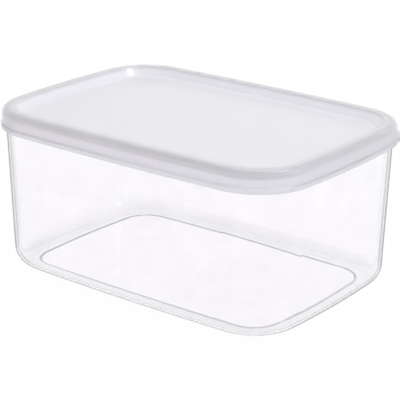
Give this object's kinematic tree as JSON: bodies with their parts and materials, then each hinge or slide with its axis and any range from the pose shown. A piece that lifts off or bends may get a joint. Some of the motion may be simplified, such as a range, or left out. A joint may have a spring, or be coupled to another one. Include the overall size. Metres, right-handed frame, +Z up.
{
  "type": "food storage container",
  "caption": "Rectangular food storage box: a thin clear plastic tub with rounded corners that stands on a flat foot ring, closed by a milky press-on lid with a recessed top and a small thumb tab.",
  "frame": {"origin": "middle of the face that the tub stands on", "axes": "+X along the long side, +Y along the short side, +Z up; the thumb tab is at the +X +Y corner"},
  "size_m": [0.23, 0.162, 0.105],
  "materials": {
    "clear_plastic": "clear moulded plastic, smooth and glossy",
    "milky_plastic": "translucent milky plastic, satin"
  },
  "bodies": {
    "root": {"tub": "clear_plastic", "lid": "milky_plastic"}
  },
  "joints": []
}
